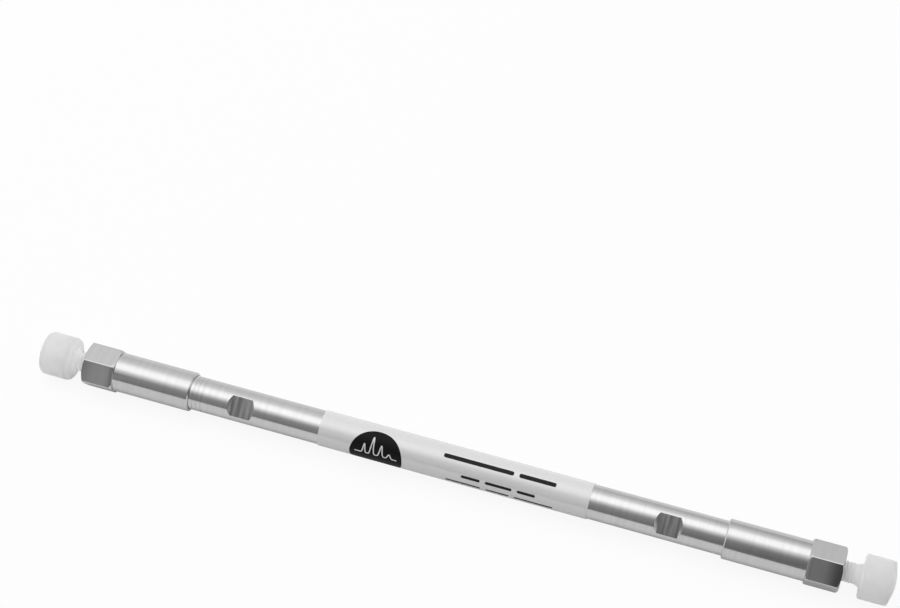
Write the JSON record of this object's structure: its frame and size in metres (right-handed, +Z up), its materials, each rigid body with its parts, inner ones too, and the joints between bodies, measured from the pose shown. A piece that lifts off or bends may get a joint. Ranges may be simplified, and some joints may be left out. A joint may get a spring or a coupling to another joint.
{
  "type": "hplc column",
  "caption": "Slim steel chromatography column with hex end fittings, wrench flats, a label and a white plug in each end.",
  "frame": {"origin": "on the axis at the middle of the tube", "axes": "+X along the column from inlet to outlet, +Z up as it lies on its two plug heads"},
  "size_m": [0.2034, 0.011, 0.0102],
  "materials": {
    "tube_steel": "satin",
    "fitting_steel": "satin",
    "frit_steel": "matte",
    "seal_plastic": "matte",
    "plug_plastic": "satin",
    "label_film": "satin",
    "packing": "matte"
  },
  "bodies": {
    "column": {"column_tube": "tube_steel", "packed_bed": "packing", "label": "label_film"},
    "inlet_fitting": {"inlet_end_fitting": "fitting_steel", "inlet_frit": "frit_steel", "inlet_frit_ring": "seal_plastic"},
    "inlet_plug": {"inlet_plug": "plug_plastic"},
    "outlet_fitting": {"outlet_end_fitting": "fitting_steel", "outlet_frit": "frit_steel", "outlet_frit_ring": "seal_plastic"},
    "outlet_plug": {"outlet_plug": "plug_plastic"}
  },
  "joints": [
    {"name": "inlet_fitting_unscrew", "type": "slide", "parent": "column", "child": "inlet_fitting", "axis": [-1, 0, 0], "range_m": [0, 0.016]},
    {"name": "inlet_plug_unscrew", "type": "slide", "parent": "inlet_fitting", "child": "inlet_plug", "axis": [-1, 0, 0], "range_m": [0, 0.012]},
    {"name": "outlet_fitting_unscrew", "type": "slide", "parent": "column", "child": "outlet_fitting", "axis": [1, 0, 0], "range_m": [0, 0.016]},
    {"name": "outlet_plug_unscrew", "type": "slide", "parent": "outlet_fitting", "child": "outlet_plug", "axis": [1, 0, 0], "range_m": [0, 0.012]}
  ]
}
